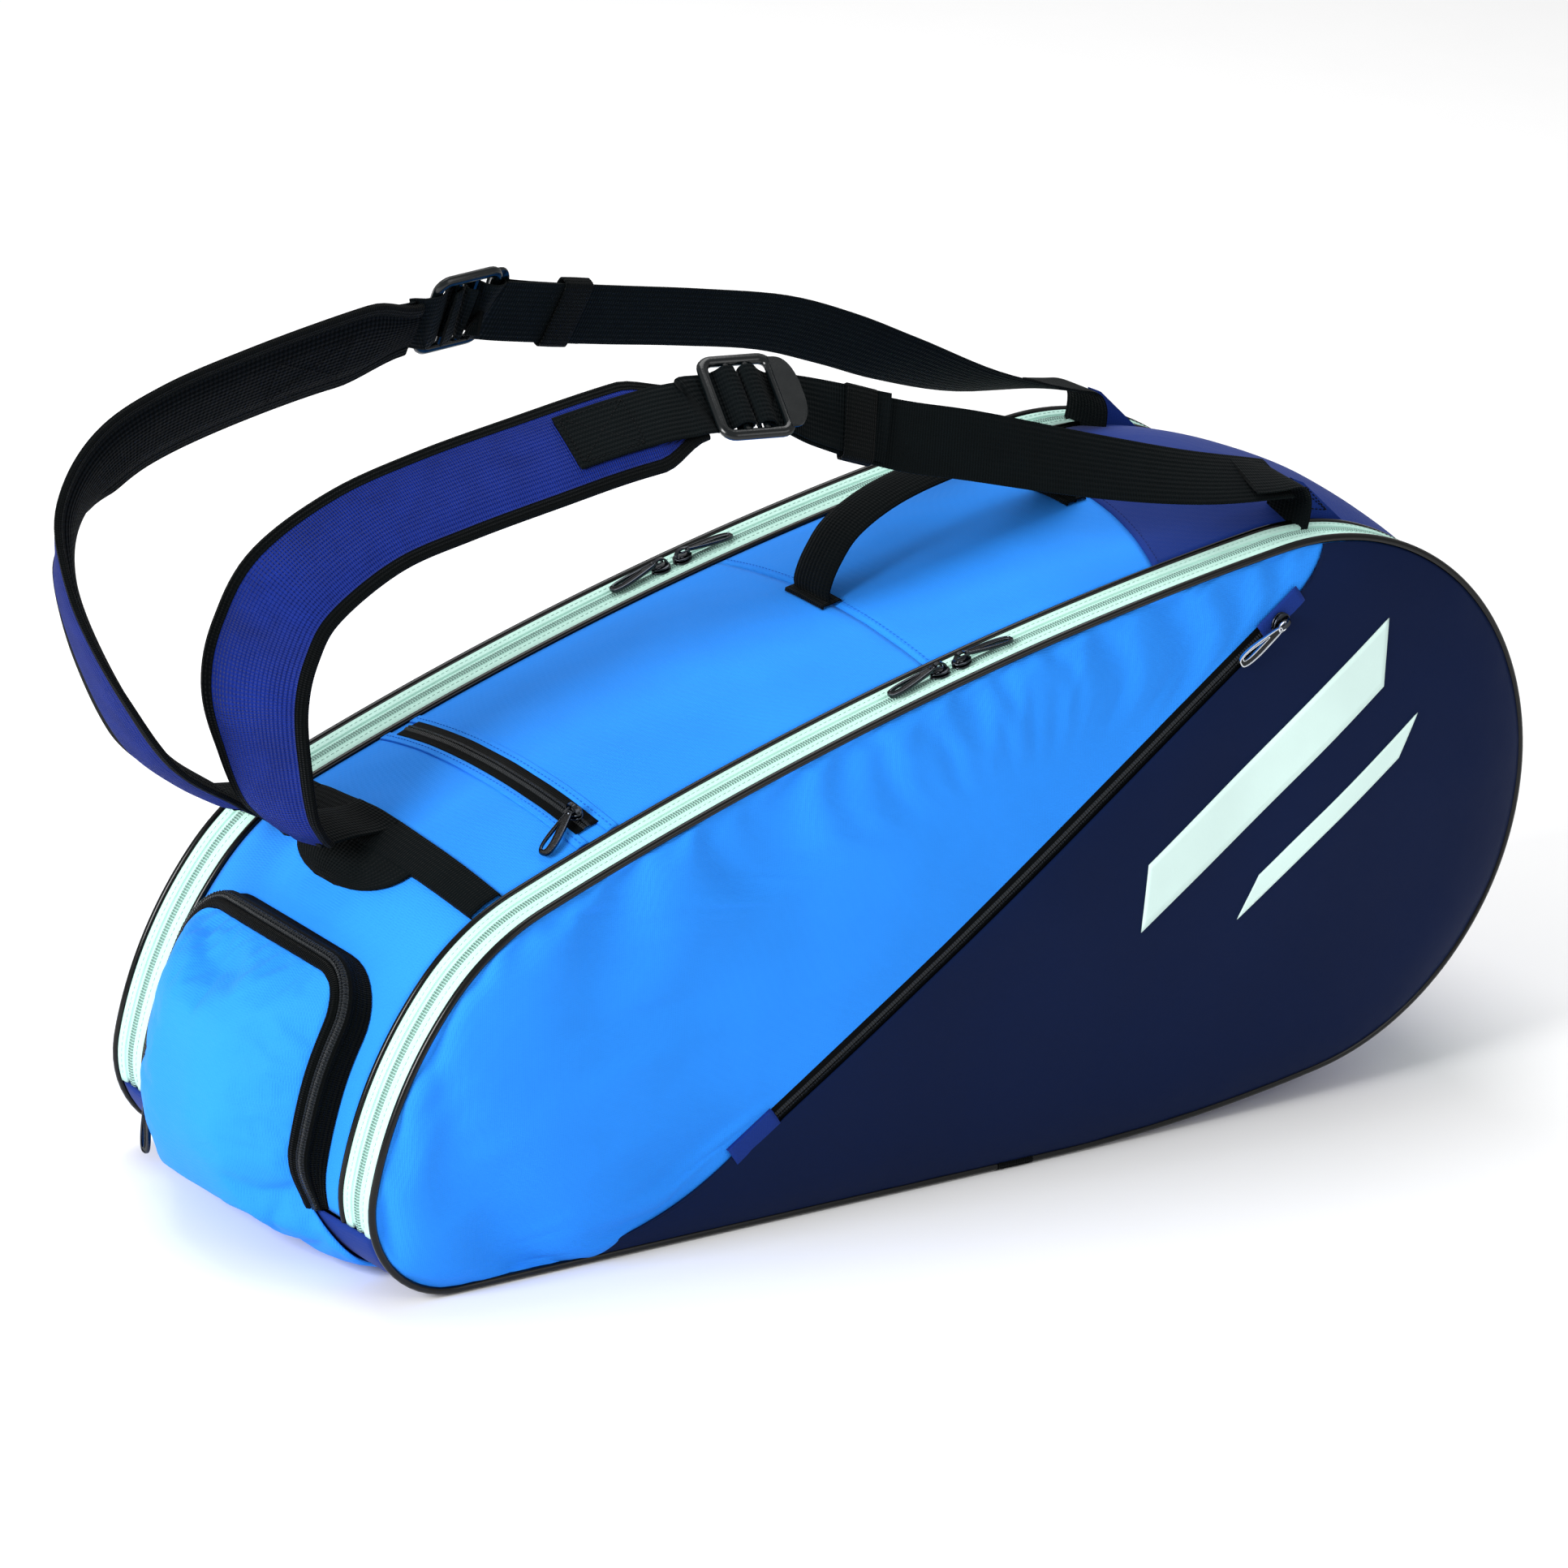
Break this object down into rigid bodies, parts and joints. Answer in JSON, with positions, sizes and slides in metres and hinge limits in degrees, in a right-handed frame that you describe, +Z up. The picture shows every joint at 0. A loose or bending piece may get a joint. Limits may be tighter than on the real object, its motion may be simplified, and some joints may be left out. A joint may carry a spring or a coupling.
{
  "type": "racket tournament bag",
  "caption": "Teardrop-shaped racket bag with zipped main compartments on both sides, padded shoulder straps, a carry handle, an end pocket and a side pocket.",
  "frame": {"origin": "centre of the bag's length and width, on the surface it stands on", "axes": "+X along the bag towards the wide racket-head end, +Y across it towards the plain side (the pocket side is -Y), +Z up"},
  "size_m": [0.8551, 0.2661, 0.4812],
  "materials": {
    "light_blue_polyester": "tight plain weave, slight sheen",
    "navy_pu": "smooth glossy coated fabric",
    "navy_polyester": "tight plain weave, slight sheen",
    "mint_zip_tape": "woven zip tape with nylon coil",
    "black_webbing": "ribbed webbing, matte",
    "black_piping": "glossy coated piping cord",
    "black_zip": "black coil zip, satin",
    "royal_blue_pad": "ribbed padded webbing, matte",
    "gunmetal": "polished gunmetal",
    "black_plastic": "moulded plastic, satin",
    "grey_foam_lining": "foam-backed lining, matte"
  },
  "bodies": {
    "bag_shell": {"bottom_gusset": "navy_polyester", "racket_end_gusset": "navy_polyester", "top_gusset_middle": "light_blue_polyester", "top_gusset_front": "light_blue_polyester", "handle_end_gusset": "light_blue_polyester", "front_inner_piping": "black_piping", "rear_inner_piping": "black_piping", "front_zip_tape_inner": "mint_zip_tape", "rear_zip_tape_inner": "mint_zip_tape", "centre_divider": "grey_foam_lining", "base_board": "grey_foam_lining", "strap_anchor_tape": "black_webbing", "accessory_zip_tape": "black_zip", "shoe_pocket_zip": "black_zip", "handle_foot_left": "black_webbing", "handle_foot_right": "black_webbing", "front_strap_tab": "navy_polyester", "rear_strap_tab": "navy_polyester", "front_strap_root": "black_webbing", "rear_strap_root": "black_webbing"},
    "front_cover": {"front_side_panel": "light_blue_polyester", "front_outer_piping": "black_piping", "front_zip_tape_outer": "mint_zip_tape", "front_pocket_panel": "navy_pu", "pocket_zip_tape": "black_zip", "trim_bar_long": "mint_zip_tape", "trim_bar_short": "mint_zip_tape"},
    "rear_cover": {"rear_side_panel": "light_blue_polyester", "rear_outer_piping": "black_piping", "rear_zip_tape_outer": "mint_zip_tape"},
    "shoe_pocket_cover": {"shoe_pocket_cover": "light_blue_polyester"},
    "carry_handle": {"carry_handle": "black_webbing"},
    "front_strap": {"front_strap_pad": "royal_blue_pad", "front_strap_webbing": "black_webbing"},
    "front_ladder_lock": {"front_ladder_lock": "black_plastic"},
    "front_strap_keeper": {"front_strap_keeper": "black_webbing"},
    "rear_strap": {"rear_strap_pad": "royal_blue_pad", "rear_strap_webbing": "black_webbing"},
    "rear_ladder_lock": {"rear_ladder_lock": "black_plastic"},
    "rear_strap_keeper": {"rear_strap_keeper": "black_webbing"},
    "front_left_slider": {"front_left_slider": "gunmetal"},
    "front_left_pull": {"front_left_pull": "gunmetal"},
    "front_right_slider": {"front_right_slider": "gunmetal"},
    "front_right_pull": {"front_right_pull": "gunmetal"},
    "rear_left_slider": {"rear_left_slider": "gunmetal"},
    "rear_left_pull": {"rear_left_pull": "gunmetal"},
    "rear_right_slider": {"rear_right_slider": "gunmetal"},
    "rear_right_pull": {"rear_right_pull": "gunmetal"},
    "pocket_slider": {"pocket_slider": "gunmetal"},
    "pocket_pull": {"pocket_pull": "gunmetal"},
    "accessory_slider": {"accessory_slider": "gunmetal"},
    "accessory_pull": {"accessory_pull": "gunmetal"},
    "shoe_slider": {"shoe_slider": "gunmetal"},
    "shoe_pull": {"shoe_pull": "gunmetal"}
  },
  "joints": [
    {"name": "front_cover_open", "type": "hinge", "parent": "bag_shell", "child": "front_cover", "pos_m": [0, -0.127, 0.0026], "axis": [1, 0, 0], "range_deg": [0, 75]},
    {"name": "rear_cover_open", "type": "hinge", "parent": "bag_shell", "child": "rear_cover", "pos_m": [0, 0.127, 0.0026], "axis": [-1, 0, 0], "range_deg": [0, 75]},
    {"name": "front_left_zip", "type": "hinge", "parent": "bag_shell", "child": "front_left_slider", "pos_m": [0.49948, -0.1125, -1.7778], "axis": [0, -1, 0], "range_deg": [0, 6.9]},
    {"name": "front_right_zip", "type": "hinge", "parent": "bag_shell", "child": "front_right_slider", "pos_m": [0.49948, -0.1125, -1.7778], "axis": [0, 1, 0], "range_deg": [0, 3.4]},
    {"name": "rear_left_zip", "type": "hinge", "parent": "bag_shell", "child": "rear_left_slider", "pos_m": [0.49948, 0.1125, -1.7778], "axis": [0, -1, 0], "range_deg": [0, 6.3]},
    {"name": "rear_right_zip", "type": "hinge", "parent": "bag_shell", "child": "rear_right_slider", "pos_m": [0.49948, 0.1125, -1.7778], "axis": [0, 1, 0], "range_deg": [0, 4]},
    {"name": "front_left_pull_lift", "type": "hinge", "parent": "front_left_slider", "child": "front_left_pull", "pos_m": [-0.02173, -0.1125, 0.29176], "axis": [0, 1, 0], "range_deg": [0, 85]},
    {"name": "front_right_pull_lift", "type": "hinge", "parent": "front_right_slider", "child": "front_right_pull", "pos_m": [-0.00729, -0.1125, 0.29535], "axis": [0, -1, 0], "range_deg": [0, 85]},
    {"name": "rear_left_pull_lift", "type": "hinge", "parent": "rear_left_slider", "child": "rear_left_pull", "pos_m": [-0.04581, 0.1125, 0.28555], "axis": [0, 1, 0], "range_deg": [0, 85]},
    {"name": "rear_right_pull_lift", "type": "hinge", "parent": "rear_right_slider", "child": "rear_right_pull", "pos_m": [-0.03137, 0.1125, 0.28932], "axis": [0, -1, 0], "range_deg": [0, 85]},
    {"name": "pocket_zip", "type": "slide", "parent": "front_cover", "child": "pocket_slider", "axis": [-0.8139, 0, -0.581], "range_m": [0, 0.4]},
    {"name": "pocket_pull_lift", "type": "hinge", "parent": "pocket_slider", "child": "pocket_pull", "pos_m": [0.18896, -0.135, 0.29019], "axis": [-0.581, 0, 0.8139], "range_deg": [0, 110]},
    {"name": "accessory_zip", "type": "hinge", "parent": "bag_shell", "child": "accessory_slider", "pos_m": [-0.09514, 0, -0.12865], "axis": [-0.9407, 0, -0.3392], "range_deg": [0, 22.4]},
    {"name": "accessory_pull_lift", "type": "hinge", "parent": "accessory_slider", "child": "accessory_pull", "pos_m": [-0.22688, -0.07795, 0.23565], "axis": [-0.43, 0.9021, 0.0367], "range_deg": [0, 110]},
    {"name": "shoe_zip", "type": "hinge", "parent": "bag_shell", "child": "shoe_slider", "pos_m": [-0.2352, 0.076, 0.0645], "axis": [0, 1, 0], "range_deg": [0, 38]},
    {"name": "shoe_pull_swing", "type": "hinge", "parent": "shoe_slider", "child": "shoe_pull", "pos_m": [-0.38674, 0.076, 0.05069], "axis": [0, 1, 0], "range_deg": [-15, 110]},
    {"name": "shoe_pocket_open", "type": "hinge", "parent": "bag_shell", "child": "shoe_pocket_cover", "pos_m": [-0.37339, 0, 0.04381], "axis": [0, -1, 0], "range_deg": [0, 60]},
    {"name": "handle_swing", "type": "hinge", "parent": "bag_shell", "child": "carry_handle", "pos_m": [-0.02488, 0, 0.30427], "axis": [0.9784, 0, 0.2068], "range_deg": [-50, 50]},
    {"name": "front_strap_swing", "type": "hinge", "parent": "bag_shell", "child": "front_strap", "pos_m": [-0.29361, 0.012, 0.21431], "axis": [0.947, -0.1949, 0.2553], "range_deg": [0, 40]},
    {"name": "rear_strap_swing", "type": "hinge", "parent": "bag_shell", "child": "rear_strap", "pos_m": [-0.29049, 0.072, 0.20846], "axis": [-0.9615, -0.0406, -0.2718], "range_deg": [0, 40]},
    {"name": "front_lock_tilt", "type": "hinge", "parent": "front_strap", "child": "front_ladder_lock", "pos_m": [-0.11358, -0.02713, 0.427], "axis": [-0.1778, -0.8082, -0.5614], "range_deg": [0, 35]},
    {"name": "rear_lock_tilt", "type": "hinge", "parent": "rear_strap", "child": "rear_ladder_lock", "pos_m": [-0.22094, 0.08244, 0.45594], "axis": [-0.0238, -0.4755, 0.8794], "range_deg": [0, 35]},
    {"name": "front_keeper_slide", "type": "slide", "parent": "front_strap", "child": "front_strap_keeper", "axis": [0.9337, -0.1987, -0.298], "range_m": [-0.006, 0.006]},
    {"name": "rear_keeper_slide", "type": "slide", "parent": "rear_strap", "child": "rear_strap_keeper", "axis": [0.9836, 0.0518, -0.1726], "range_m": [-0.006, 0.006]}
  ]
}
